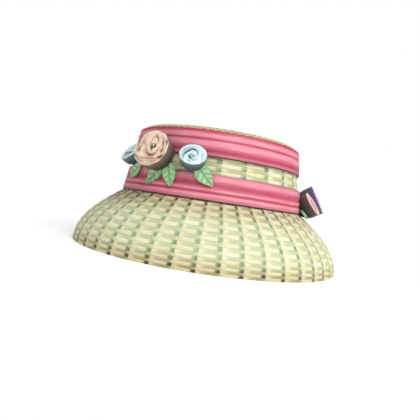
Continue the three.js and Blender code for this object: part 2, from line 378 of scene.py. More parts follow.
@dataclass(frozen=True)
class HatLine:
    """The hat's outside as radius against height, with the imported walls' sizes.

    Attributes:
        droop: the higher it is, the longer the brim hangs upright above the rim.
        ease: how softly the brim turns into the crown.
        crowding: above 1 the brim's points crowd towards the headline.
        taper: radius that the crown loses for each metre of height.
        ridge: how far a ribbon's highest folds stand off the crown.
        gap: air between the brim and the crown.
        tip_slope: how steeply the tip starts to rise from the shoulder, in radians.
    """

    rim_radius: float = 140 * MM
    head_radius: float = 94.7 * MM
    head_height: float = 57.4 * MM
    droop: float = 2.1
    ease: float = 1.125
    crowding: float = 1.5
    taper: float = 0.1672
    ridge: float = 2.2 * MM
    gap: float = 0.3 * MM
    shoulder_height: float = 118.2 * MM
    shoulder_radius: float = 6.2 * MM
    tip_slope: float = np.radians(5.5)

    def crown(self, height: np.ndarray) -> np.ndarray:
        """Radius of the crown's side: the headline's, less the taper's share of the height above it."""
        return self.head_radius - self.taper * (height - self.head_height)

    def brim(self, height: np.ndarray) -> np.ndarray:
        """Radius of the brim: (1 - share^droop)^ease of the way from the headline to the rim."""
        out = (1 - ramp(height, 0, self.head_height) ** self.droop) ** self.ease
        return self.head_radius + (self.rim_radius - self.head_radius) * out

    def bed(self, height: np.ndarray) -> np.ndarray:
        """Radius that leaves and roses sit on: the ribbon's highest folds, or the brim below it."""
        return np.maximum(self.crown(height) + self.ridge, self.brim(height))

    def brim_line(self) -> np.ndarray:
        """Points (radius, height) of the brim's outside from the rim up to the headline."""
        height = self.head_height * (1 - (1 - np.linspace(0, 1, 200)) ** self.crowding)
        return np.stack([self.brim(height), height], axis=-1)

    def crown_line(self) -> np.ndarray:
        """Points (radius, height) of the crown's outside, from its foot to the middle of the tip.

        The side is straight, the shoulder is an arc, and the tip rises by 1 - (r / edge)^2 of half
        its slope's height at the middle.
        """
        foot = self.head_height + self.gap
        lean = np.arctan(self.taper)
        side = np.linspace(foot, self.shoulder_height, 60, endpoint=False)
        turn = np.linspace(lean, np.pi / 2 - self.tip_slope, 20)
        middle = np.array([
            self.crown(self.shoulder_height) - self.shoulder_radius * np.cos(lean),
            self.shoulder_height - self.shoulder_radius * np.sin(lean),
        ])
        shoulder = middle + self.shoulder_radius * np.stack([np.cos(turn), np.sin(turn)], axis=-1)
        edge, top = shoulder[-1]
        share = np.linspace(1, 0, 60)[1:]
        rise = edge * np.tan(self.tip_slope) / 2 * (1 - share ** 2)
        tip = np.stack([edge * share, top + rise], axis=-1)
        return np.concatenate([np.stack([self.crown(side), side], axis=-1), shoulder, tip])


LINE = HatLine()


# Straw

@dataclass(frozen=True)
class PlaitedStraw:
    """Flat plaited straw: split stalks, with painted light that makes them cream where they lie on top
    and painted shade that makes them greenish in the hollows.

    Dry straw has a waxy skin, so it is half-matt with a soft shine and fine grain along each strand.

    Attributes:
        lit: painted light on a strand that lies on top.
        dusty: what dust in the grain takes off that colour.
        shade: painted shade on a strand in a hollow.
        painted_shade_lit: the first, darker and browner under painted shade.
        painted_shade_hollow: the third, darker and browner under painted shade.
        gap: painted shade between the strands.
        painted_shade_gap: the painted shade of the gaps, deeper under the darker, browner painted shade.
        warm: what varies one cell's colour from the next's.
        grain: width of a streak.
        roughness: of the straw.
    """

    lit: str = "#FFFFE0"
    dusty: str = "#F1EEDC"
    shade: str = "#CDD8B4"
    painted_shade_lit: str = "#EEE6C0"
    painted_shade_hollow: str = "#A39D7A"
    gap: str = "#64905F"
    painted_shade_gap: str = "#2F3026"
    warm: str = "#F3E6CE"
    grain: float = 0.35 * MM
    roughness: float = 0.55

    def material(self) -> bpy.types.Material:
        """Mixes the straw's painted light and shade: painted light on top, painted shade in the hollows,
        darker and browner painted shade by height, and painted shade in the gaps.
        """
        material, tree, shader = finish(
            "plaited_straw", Roughness=self.roughness, Specular_IOR_Level=0.35, IOR=1.5)
        # Darker, browner painted shade near the rim, under the lower ribbon's hem, on the band between the
        # ribbons and on the tip.
        painted_shade = tone(tree, "painted_shade")
        high = blend_colours(tree, painted_shade, self.lit, self.painted_shade_lit)
        low = blend_colours(tree, painted_shade, self.shade, self.painted_shade_hollow)
        dark = blend_colours(tree, painted_shade, self.gap, self.painted_shade_gap)
        grain = streaks(tree, 14 * MM, self.grain)
        # Painted light and shade: each strand goes from its painted shade to its painted light by the lit
        # tone.
        strand = blend_colours(tree, tone(tree, "lit"), low, high)
        varied = blend_colours(tree, tone(tree, "cell"), strand, self.warm, "MULTIPLY")
        streaked = blend_colours(
            tree, reshape_share(tree, grain, 0.35, 0.75), varied, self.dusty, "MULTIPLY")
        # Painted shade in the gaps, where a weft dives under a stake.
        colour = blend_colours(tree, tone(tree, "gap"), streaked, dark)
        join(tree, shader, Base_Color=colour, Normal=raised(tree, grain, 0.12 * MM, 0.6))
        return material


@dataclass(frozen=True)
class Zone:
    """A part of the weave with one number of stakes.

    Attributes:
        columns: stakes round the hat, an even number.
        rows: the distance of each weft's middle along the line, in metres.
        offset: azimuth in degrees of the edge between the last stake and the first.
        first: the number of the first row, which sets where the weave is over and where under.
        steps: of a weft, from one stake's edge to the next.
        around: points round a weft's section.
        stake_steps: of a stake, from one row to the next.
        stake_edge: places across a stake, from -1 at its left edge to 1 at its right.
    """

    columns: int
    rows: np.ndarray
    offset: float
    first: int = 0
    steps: int = 8
    around: int = 8
    stake_steps: int = 4
    stake_edge: tuple[float, ...] = (-1, -0.86, -0.6, -0.35, 0.3, 0.8, 1)


@dataclass
class Weave:
    """A plain weave of wefts round the hat over and under flat stakes that run up it.

    Attributes:
        name: what its pieces' names begin with.
        line: the wall's outside as points (radius, height).
        zones: its parts from the bottom up.
        depth: from the wall's outside in to the weave's middle surface.
        weft_wave: how far a weft goes over and under the middle surface.
        weft_half: half of its thickness.
        weft_reach: half of its width, as a share of the rows' distance.
        crest: how many times higher than 1 its wave would be if it weren't clipped flat.
        narrowing: how much narrower it is where it passes the middle surface.
        corner: below 1 its section has fuller corners than an ellipse.
        over_gap: shares of an over strip, from its left end, where the painted shade of its gap starts and
            is full.
        under_gap: the same for an under strip.
        left_light: the same for the painted light at a strip's left end.
        stake_light: places across a stake where the painted light at its left edge starts and is full.
        stake_gap: the same for the painted shade of the gap beside it.
        stake_wave: how far a stake goes over and under.
        stake_half: half of its thickness.
        stake_share: its width as a share of its part of the circle.
        gap_share: how dark the painted shade in the gaps between the strands is.
        start: where the first stakes may begin along the line.
    """

    # The straw's darker, browner painted shade by height, in mm: where it starts, where it is full,
    # the lowest and the highest place that it reaches, and how strong it is from 0 to 1
    PAINTED_SHADE = (
        (15, 3, -10, 20, 1.0),  # painted shade along the rim
        (38, 52, 30, 60, 1.0),  # painted shade on the brim under the lower ribbon's hem
        (59, 60, 60, 117, 0.27),  # painted shade on the band between the ribbons
        (117, 119, 117, 140, 0.75),  # painted shade on the tip
    )

    name: str
    line: np.ndarray
    zones: list[Zone]
    depth: float = 0.9 * MM
    weft_wave: float = 0.24 * MM
    weft_half: float = 0.25 * MM
    weft_reach: float = 0.55
    crest: float = 1.7
    narrowing: float = 0.12
    corner: float = 0.6
    over_gap: tuple[float, float] = (0.8, 0.86)
    under_gap: tuple[float, float] = (0.1, 0.0)
    left_light: tuple[float, float] = (1 / 3, 0.0)
    stake_light: tuple[float, float] = (-0.25, -0.65)
    stake_gap: tuple[float, float] = (-0.86, -1.0)
    stake_wave: float = 0.2 * MM
    stake_half: float = 0.25 * MM
    stake_share: float = 1.01
    gap_share: float = 1.0
    start: float = 0.2 * MM

    def along(self) -> np.ndarray:
        """Distance along the line at each of its points."""
        return np.concatenate([[0.0], np.cumsum(spacing(self.line))])

    def at(self, distance: np.ndarray) -> tuple[np.ndarray, np.ndarray, np.ndarray]:
        """Points on the weave's middle surface, with the line's direction and its outward normal.

        Args:
            distance: how far along the line, in metres.

        Returns:
            Points, directions and normals as (radius, height), set in from the outside by the depth.
        """
        gone = self.along()
        both = np.concatenate([self.line, unit(np.gradient(self.line, gone, axis=0))], axis=1)
        read = np.stack([np.interp(distance, gone, both[:, i]) for i in range(4)], axis=-1)
        run = unit(read[..., 2:])
        out = np.stack([run[..., 1], -run[..., 0]], axis=-1)
        return read[..., :2] - out * self.depth, run, out

    def painted_shade_at(self, point: np.ndarray) -> np.ndarray:
        """How strong the straw's darker, browner painted shade is, from 0 to 1: near the rim, under the
        lower ribbon's hem, on the band between the ribbons and on the tip.
        """
        height = point[..., 1] / MM
        return np.max([
            most * ramp(height, start, full) * (low < height) * (height < high)
            for start, full, low, high, most in self.PAINTED_SHADE], axis=0)

    def wefts(self, zone: Zone, seed: int) -> Grid:
        """Rings of straw, one a row, that pass over one stake and under the next.

        A ring's distance from the middle surface is weft_wave times a sine of the stake number,
        clipped at its crests so that the strand lies flat there. Its section is an ellipse with
        fuller corners. A strand gets painted light by its sine and at its left end, and painted shade
        along its lower edge; painted shade for the gap lies at the right end of an over strip and at
        the left end of an under strip. Each cell has two chances of its own: the first varies its
        colour, and the second, which is what 7.3 times the first leaves over a whole number, varies
        how much painted light it has and how dark the painted shade of its gap is.

        Args:
            zone: the part of the weave.
            seed: of each cell's chance.
        """
        phase = np.arange(zone.columns * zone.steps) / zone.steps
        cell = np.floor(phase + 1e-6).astype(int)
        within = phase - cell
        azimuth = np.radians(zone.offset) + phase * 2 * np.pi / zone.columns
        row = (zone.first + np.arange(len(zone.rows)))[:, None]
        sine = np.sin(np.pi * (phase + row))
        wave = np.clip(self.crest * sine, -1, 1)
        half = self.weft_reach * np.gradient(zone.rows)[:, None]
        half = half * (1 - self.narrowing * (1 - np.abs(wave)))
        turn = circle(zone.around) + np.pi / zone.around
        flat = np.sign(np.cos(turn)) * np.abs(np.cos(turn)) ** self.corner
        point, run, out = (part[:, None, None] for part in self.at(zone.rows))
        up = (half[..., None] * flat)[..., None]
        proud = ((self.weft_wave * wave)[..., None] + self.weft_half * np.sin(turn))[..., None]
        place = point + run * up + out * proud
        points = around_axis(place[..., 0], azimuth[None, :, None], place[..., 1])
        chance = np.random.default_rng(seed).uniform(0, 1, (len(zone.rows), zone.columns))
        drawn, other = chance[:, cell], (7.3 * chance % 1)[:, cell]
        # Strength of the darker, browner painted shade here.
        worn = self.painted_shade_at(point[:, 0])
        # Painted shade in the gap at an over strip's right end and an under strip's left end, deeper in the
        # painted-shade zones and at random.
        over_end = ramp(within, *self.over_gap) * (0.42 + 0.3 * other + 0.28 * worn)
        under_end = ramp(within, *self.under_gap) * (0.5 + 0.5 * np.maximum(worn, other))
        painted_gap_shade = np.where((cell + row) % 2 == 0, over_end, under_end)
        # Painted light at a strand's left end, and on top where it lies over a stake.
        left_end = 0.7 * ramp(within, *self.left_light)
        lit = np.clip(np.maximum(1.25 * sine, 0) + left_end, 0, 1) * (1 - 0.15 * other)
        # Painted shade darkens each strand's lower edge.
        return Grid(points, closed_rows=True, closed_columns=True, tones={
            "lit": lit[..., None] * np.clip(0.9 + 0.22 * flat, 0, 1),
            "gap": (self.gap_share * painted_gap_shade)[..., None],
            "cell": 0.5 * drawn[..., None],
            # Darker, browner painted shade by height.
            "painted_shade": worn[..., None],
        })

    def stakes(self, zone: Zone, low: float, high: float, seed: int) -> Grid:
        """Flat straws that run up the line, each as wide as its share of the circle.

        A stake's distance from the middle surface is stake_wave times a cosine of the row number,
        opposite to the wefts', and its outside is slightly rounded across. Its left edge has painted
        light, and painted shade darkens the gap beside it where the stake lies on top.

        Args:
            zone: the part of the weave.
            low: where the stakes begin along the line, in metres.
            high: where they end.
            seed: of each cell's chance.
        """
        count = int(round((high - low) / np.mean(np.gradient(zone.rows)) * zone.stake_steps))
        distance = np.linspace(low, high, count)
        numbers = zone.first + np.arange(len(zone.rows))
        before, after = zone.rows[0], zone.rows[-1]
        row = np.interp(distance, zone.rows, numbers)
        row += np.minimum(distance - before, 0) / (zone.rows[1] - before)
        row += np.maximum(distance - after, 0) / (after - zone.rows[-2])
        column = np.arange(zone.columns)
        wave = -np.cos(np.pi * (row[None, :] + column[:, None]))
        edge = np.array(zone.stake_edge)
        thick = 1 - 0.7 * edge ** 4
        across, thick = there_and_back(edge, edge), there_and_back(thick, -thick)
        turned = column[:, None] + 0.5 + across / 2 * self.stake_share
        azimuth = np.radians(zone.offset) + turned * 2 * np.pi / zone.columns
        point, _, out = self.at(distance)
        proud = (self.stake_wave * wave)[..., None] + self.stake_half * thick
        place = point[:, None] + out[:, None] * proud[..., None]
        points = around_axis(place[..., 0], azimuth[:, None, :], place[..., 1])
        chance = np.random.default_rng(seed).uniform(0, 1, (zone.columns, count // zone.stake_steps + 2))
        on_top = np.clip(wave, 0, 1)[..., None]
        # Painted light along each stake's left edge, and painted shade in the gap beside it where it lies on
        # top.
        return Grid(points, closed_columns=True, capped=True, tones={
            "lit": 0.02 + 0.75 * ramp(across, *self.stake_light) + 0.08 * on_top,
            "gap": 0.6 * self.gap_share * ramp(across, *self.stake_gap) * on_top,
            "cell": 0.5 * chance[:, np.arange(count) // zone.stake_steps, None],
            # Darker, browner painted shade by height.
            "painted_shade": self.painted_shade_at(point)[:, None],
        })

    def build(self, material: bpy.types.Material, node: str) -> None:
        """Weaves every zone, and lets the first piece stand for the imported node.

        Args:
            material: the straw's finish.
            node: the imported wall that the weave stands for.
        """
        for number, zone in enumerate(self.zones):
            reach = (zone.rows[1] - zone.rows[0]) / 2
            low, high = max(zone.rows[0] - reach, self.start), zone.rows[-1] + reach
            label = self.name if number == 0 else f"{self.name}_{number}"
            nodes = [node] if number == 0 else []
            place_piece(self.wefts(zone, SEED + number), f"{label}_wefts", material, "straw", *nodes)
            stakes = self.stakes(zone, low, high, SEED + 9 + number)
            place_piece(stakes, f"{label}_stakes", material, "straw")


@dataclass
class StrawBody:
    """The woven brim and crown, with the small coil that closes the middle of the tip.

    Attributes:
        brim_heights: of the brim's rows, in mm.
        brim_columns: stakes round the brim.
        brim_offset: azimuth in degrees where the first of them begins.
        crown_columns: stakes round the crown's side.
        crown_offset: azimuth in degrees where the first of them begins.
        crown_pitch: from one row to the next on the crown's side.
        crown_row: how far up the crown's line one row that shows well lies.
        rows_below: how many rows lie below that one.
        side_length: how far along the line the side's rows go.
        tip_pitch: from one row of the tip, or one turn of the coil, to the next.
        tip_columns: stakes round each ring of the tip.
        tip_radii: where these rings begin and end.
        coil_radius: where the coil ends.
        coil_dive: radius beyond which it sinks under the innermost weft.
        coil_depth: how far its middle lies below the top of the tip.
        coil_half: half of its strand's width and of its thickness.
    """

    brim_heights: tuple[float, ...] = (
        1.3, 3.6, 6.1, 8.7, 11.5, 14.5, 17.6, 20.8, 24.1, 27.4,
        30.7, 34.0, 37.2, 40.3, 43.3, 46.2, 49.0, 51.7, 54.2, 56.7,
    )
    brim_columns: int = 46
    brim_offset: float = 41.9
    crown_columns: int = 24
    crown_offset: float = 38.6
    crown_pitch: float = 3.67 * MM
    crown_row: float = 24.0 * MM
    rows_below: int = 6
    side_length: float = 60 * MM
    tip_pitch: float = 2.6 * MM
    tip_columns: tuple[int, ...] = (144, 72, 36, 18)
    tip_radii: tuple[float, ...] = (200 * MM, 66 * MM, 38 * MM, 20 * MM, 8 * MM)
    coil_radius: float = 10.4 * MM
    coil_dive: float = 7.4 * MM
    coil_depth: float = 1.1 * MM
    coil_half: tuple[float, float] = (1.35 * MM, 0.9 * MM)

    def brim(self) -> Weave:
        """The brim's weave, whose rows lie at the heights of the real one's."""
        weave = Weave("brim_weave", LINE.brim_line(), [])
        rows = np.interp(np.array(self.brim_heights) * MM, weave.line[:, 1], weave.along())
        weave.zones.append(Zone(self.brim_columns, rows, self.brim_offset))
        return weave

    def crown(self) -> Weave:
        """The crown's weave over its side, shoulder and tip.

        The side has wide stakes. The tip is woven finer, and the number of stakes halves three
        times on the way to its middle, so that they don't grow too thin.
        """
        weave = Weave("crown_weave", LINE.crown_line(), [], gap_share=0.95)
        first = self.crown_row - self.rows_below * self.crown_pitch
        side = np.arange(first, self.side_length, self.crown_pitch)
        weave.zones.append(Zone(self.crown_columns, side, self.crown_offset))
        start = side[-1] + (self.crown_pitch + self.tip_pitch) / 2
        rows = np.arange(start, weave.along()[-1], self.tip_pitch)
        radius = weave.at(rows)[0][:, 0]
        done = len(side)
        for columns, outer, inner in zip(self.tip_columns, self.tip_radii[:-1], self.tip_radii[1:]):
            part = rows[(radius <= outer) & (radius > inner)]
            weave.zones.append(Zone(
                columns, part, self.crown_offset, first=done, steps=5, around=6, stake_steps=2,
                stake_edge=(-1, -0.86, -0.5, 0.3, 1)))
            done += len(part)
        return weave

    def coil(self, weave: Weave) -> Grid:
        """A flat coil of one strand, as a cord wound outwards from the middle of the tip.

        The cord's middle lies at radius = turn x pitch, and its section is an ellipse. Its last
        turn sinks under the innermost weft, which leaves no gap between them.
        """
        turns = np.linspace(0.02, self.coil_radius / self.tip_pitch, 240)
        radius = turns * self.tip_pitch
        section = circle(8)
        half_width, half_height = self.coil_half
        wide = radius[:, None] + half_width * np.cos(section)
        sunk = self.coil_depth + 0.02 * radius + 0.45 * np.maximum(radius - self.coil_dive, 0)
        height = weave.line[-1, 1] - sunk[:, None] + half_height * np.sin(section)
        points = around_axis(wide, (turns * 2 * np.pi)[:, None], height)[None]
        # The coil gets fixed painted light and half-strength darker, browner painted shade.
        return Grid(points, closed_columns=True, capped=True, tones={
            "lit": 0.7, "gap": 0.0, "cell": 0.3, "painted_shade": 0.5})

    def build(self) -> None:
        """Builds and dresses the brim and the crown."""
        straw = PlaitedStraw().material()
        self.brim().build(straw, "brim")
        crown = self.crown()
        crown.build(straw, "crown")
        place_piece(self.coil(crown), "crown_coil", straw, "straw")


# Ribbons

@dataclass(frozen=True)
class Satin:
    """Polyester satin ribbon: long floats of fine thread give a soft shine across the folds.

    Its colour carries painted shade in the creases, painted highlights on the crests and a dark painted
    shadow where the hem turns under.
    """

    # The first is a painted shadow where the hem turns under; the next three go from painted shade in the
    # creases to a painted highlight on the crests.
    under: str = "#4E2430"
    crease: str = "#BE4762"
    middle: str = "#DD7288"
    crest: str = "#FAA5B1"
    dulled: str = "#CF8E9D"
    worn: str = "#F0D8DC"
    sheen: str = "#FFD5DC"
    roughness: float = 0.42
    thread: float = 0.25 * MM

    def material(self) -> bpy.types.Material:
        """Paints shade into the creases, a painted shadow at the hem and painted highlights on the crests,
        with fine threads along it.
        """
        material, tree, shader = finish(
            "satin_ribbon", Roughness=self.roughness, Specular_IOR_Level=0.4, Sheen_Weight=0.15,
            Sheen_Roughness=0.4, Sheen_Tint=self.sheen, Anisotropic=0.3)
        # Painted shade and light across the folds: the hem's painted shadow, painted shade in the creases,
        # painted highlights on the crests.
        fold, colour = tone(tree, "fold"), self.under
        steps = (-0.8, 0.0, self.crease), (0.0, 0.5, self.middle), (0.5, 1.0, self.crest)
        for low, high, shade in steps:
            colour = blend_colours(tree, reshape_share(tree, fold, low, high), colour, shade)
        # A greyer colour painted in bands across the height, away from the creases.
        shown = {0: tone(tree, "dull"), 1: reshape_share(tree, fold, -0.2, 0.3)}
        dull = add_node(tree, "ShaderNodeMath", shown, operation="MULTIPLY").outputs[0]
        colour = blend_colours(tree, dull, colour, self.dulled)
        rubbed = reshape_share(tree, streaks(tree, 25 * MM, 3 * MM), 0.3, 0.8)
        colour = blend_colours(tree, rubbed, colour, self.worn, "MULTIPLY")
        threads = raised(tree, streaks(tree, 30 * MM, self.thread), 0.03 * MM, 0.5)
        join(tree, shader, Base_Color=colour, Normal=threads)
        return material


@dataclass
class FoldedRibbon:
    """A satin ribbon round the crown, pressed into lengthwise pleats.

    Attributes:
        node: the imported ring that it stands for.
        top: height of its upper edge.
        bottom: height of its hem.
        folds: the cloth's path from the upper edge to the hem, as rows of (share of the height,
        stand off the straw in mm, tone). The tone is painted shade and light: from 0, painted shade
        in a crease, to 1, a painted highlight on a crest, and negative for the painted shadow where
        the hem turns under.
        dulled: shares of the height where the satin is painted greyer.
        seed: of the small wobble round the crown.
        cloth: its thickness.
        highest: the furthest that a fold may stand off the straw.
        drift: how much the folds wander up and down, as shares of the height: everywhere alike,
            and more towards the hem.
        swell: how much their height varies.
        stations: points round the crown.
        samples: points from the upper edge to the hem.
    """

    node: str
    top: float
    bottom: float
    folds: tuple[tuple[float, float, float], ...]
    dulled: tuple[float, ...]
    seed: int
    cloth: float = 0.32 * MM
    highest: float = 2.35 * MM
    drift: tuple[float, float] = (0.012, 0.01)
    swell: float = 0.09
    stations: int = 240
    samples: int = 60

    def path(self) -> tuple[np.ndarray, np.ndarray, np.ndarray]:
        """The ribbon's cross-section at each station, and its tones.

        Returns:
            Points (radius, height) with shape (stations, samples, 2), and the fold's tone and the
            dullness of each sample.
        """
        azimuth = circle(self.stations)[:, None]
        level, stand, tones = np.array(self.folds).T
        inner = np.sin(np.pi * np.clip(level, 0, 1)) ** 0.5
        drift = self.drift[0] * waves(azimuth, self.seed)
        drift = drift + self.drift[1] * waves(azimuth, self.seed + 1) * level
        swell = 1 + self.swell * waves(azimuth, self.seed + 2, (3, 4, 7, 9)) * inner
        weights = smooth_weights(len(level), self.samples)
        share = (level + drift * inner) @ weights.T
        stand = np.minimum((stand * swell) @ weights.T * MM, self.highest)
        height = self.top + (self.bottom - self.top) * share
        dull = sum(bell(weights @ level - place, 0.055) for place in self.dulled)
        return np.stack([LINE.crown(height) + stand, height], axis=-1), weights @ tones, dull

    def build(self, material: bpy.types.Material) -> None:
        """Makes the cloth: its outside follows the path, and its inside is its thickness further in."""
        path, tones, dull = self.path()
        run = unit(np.gradient(path, axis=1))
        out = np.stack([-run[..., 1], run[..., 0]], axis=-1)
        section = np.concatenate([path, (path - out * self.cloth)[:, ::-1]], axis=1)
        points = around_axis(section[..., 0], circle(self.stations)[:, None], section[..., 1])[None]
        grid = Grid(points, closed_rows=True, closed_columns=True, tones={
            # The fold's painted shade and light; the inside gets no painted highlight above 0.2.
            "fold": there_and_back(tones, np.minimum(tones, 0.2)),
            "dull": 0.6 * there_and_back(dull, dull)})
        piece = place_piece(grid, f"{self.node}_satin", material, "ribbon", self.node)


# Roses

@dataclass(frozen=True)
class RoseCloth:
    """Soft cotton cloth, pale on the petals' lips and flushed between them, with painted shade in the
    creases and down the cup's side, and a painted rim edge.

    Its fibres stand up a little, so it is matt with a faint sheen.

    Attributes:
        name: the material's name.
        lip: colour of the petals.
        flush: colour between them.
        groove: painted shade at the bottom of the creases.
        side: painted shade on the cup's side at the rim.
        foot: the darker painted shade on the cup's side at its foot.
        rim: colour painted on the face's outermost edge: a painted highlight, slightly darker on the blue
            roses.
        roughness: of the cloth.
    """

    name: str
    lip: str
    flush: str
    groove: str
    side: str
    foot: str
    rim: str
    roughness: float = 0.75

    def material(self) -> bpy.types.Material:
        """Colours the petals from their lips into the painted shade of the creases, with the painted rim
        edge, and paints shade on the cup from its rim, darker to its foot.
        """
        material, tree, shader = finish(
            self.name, Roughness=self.roughness, Specular_IOR_Level=0.25, Sheen_Weight=0.15,
            Sheen_Roughness=0.5, Sheen_Tint=self.lip)
        wrinkles = speckle(tree, 4.5 * MM)
        face = blend_colours(tree, reshape_share(tree, wrinkles, 0.5, 0.85), self.lip, self.flush)
        # Painted shade at the bottom of the creases, and the painted rim edge: a highlight, slightly darker
        # on the blue roses.
        for label, shade in (("blush", self.flush), ("groove", self.groove), ("edge", self.rim)):
            face = blend_colours(tree, tone(tree, label), face, shade)
        # Painted shade down the cup's side, darker towards its foot.
        low = reshape_share(tree, tone(tree, "low"), -0.15, 0.75)
        side = blend_colours(tree, low, self.side, self.foot)
        colour = blend_colours(tree, tone(tree, "side"), face, side)
        bumps = {0: 0.3, 1: 0.06 * MM, "Height": speckle(tree, 0.9 * MM, 1.0),
                 "Normal": raised(tree, wrinkles, 0.5 * MM, 0.6)}
        join(tree, shader, Base_Color=colour, Normal=add_node(tree, "ShaderNodeBump", bumps).outputs[0])
        return material


class RoseColour(Enum):
    """The colours of the roses' cloth."""

    PEACH = RoseCloth("peach_cotton", "#FFE9D2", "#DA9F8B", "#2A1B18", "#827568", "#2A251F", "#FFF3DF")
    BLUE = RoseCloth("blue_cotton", "#E6FCFD", "#B3D9E0", "#2C3B41", "#6F818A", "#414C53", "#D2F2F4")
    PINK = RoseCloth("pink_cotton", "#F9D8D6", "#E79FA9", "#3B2129", "#6B5C5D", "#393034", "#FBDEDD")
    PURPLE = RoseCloth("purple_cotton", "#D8BBF5", "#B695DD", "#5A4680", "#6F6480", "#453F55", "#DDBFFA")


@dataclass(frozen=True)
class Crease:
    """A groove between two petals on a rose's face.

    Attributes:
        path: points of (mm to the right, mm upwards, strength from 0 to 1) on the face.
        width: half of the groove's width in mm.
        depth: of the groove in mm.
        shade: how dark the painted shade at its bottom is, from 0 to 1.
        flush: how much the cloth to the right of its run is flushed, from 0 to 1.
    """

    path: tuple[tuple[float, float, float], ...]
    width: float
    depth: float
    shade: float
    flush: float = 0.85

    def nearest(self, place: np.ndarray, spin: float, scale: float) -> tuple[np.ndarray, np.ndarray]:
        """Finds the nearest place on the smoothed path for each point of the face.

        Args:
            place: points in mm from the face's middle, with shape (..., 2).
            spin: how far the path is turned anticlockwise, in radians.
            scale: how much larger it is than it is written.

        Returns:
            The distance to it in mm, positive to the left of the path's run, and its strength there.
        """
        path = smooth_weights(len(self.path), 7 * len(self.path)) @ np.array(self.path)
        turned = np.array([[np.cos(spin), np.sin(spin)], [-np.sin(spin), np.cos(spin)]])
        points = path[:, :2] @ turned * scale
        run = np.diff(points, axis=0)
        away = place[..., None, :] - points[:-1]
        share = np.clip((away * run).sum(axis=-1) / (run ** 2).sum(axis=-1), 0, 1)
        gap = np.linalg.norm(away - share[..., None] * run, axis=-1)
        gap *= np.sign(run[:, 0] * away[..., 1] - run[:, 1] * away[..., 0])
        strength = path[:-1, 2] + share * np.diff(path[:, 2])
        near = np.abs(gap).argmin(axis=-1)[..., None]
        return np.take_along_axis(gap, near, -1)[..., 0], np.take_along_axis(strength, near, -1)[..., 0]


